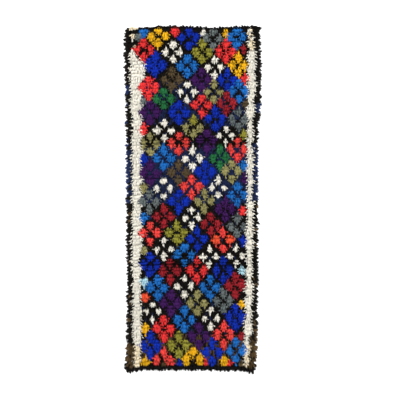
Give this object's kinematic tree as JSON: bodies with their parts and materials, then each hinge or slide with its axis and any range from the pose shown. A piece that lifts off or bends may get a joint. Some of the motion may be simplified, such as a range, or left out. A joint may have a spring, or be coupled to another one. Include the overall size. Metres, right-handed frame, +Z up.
{
  "type": "berber rug",
  "caption": "Flat knotted wool runner with a deep shag pile, in many-coloured lozenges on a dark ground with cream side bands.",
  "frame": {"origin": "on the underside, at the middle of the rug's bounding box", "axes": "+X to the right across the width, +Y along the length towards the head end, +Z up out of the pile"},
  "size_m": [0.9752, 2.4342, 0.0287],
  "materials": {
    "wool_pile": "deep matt wool shag, many-coloured knots on near-black"
  },
  "bodies": {
    "root": {"rug": "wool_pile"}
  },
  "joints": []
}
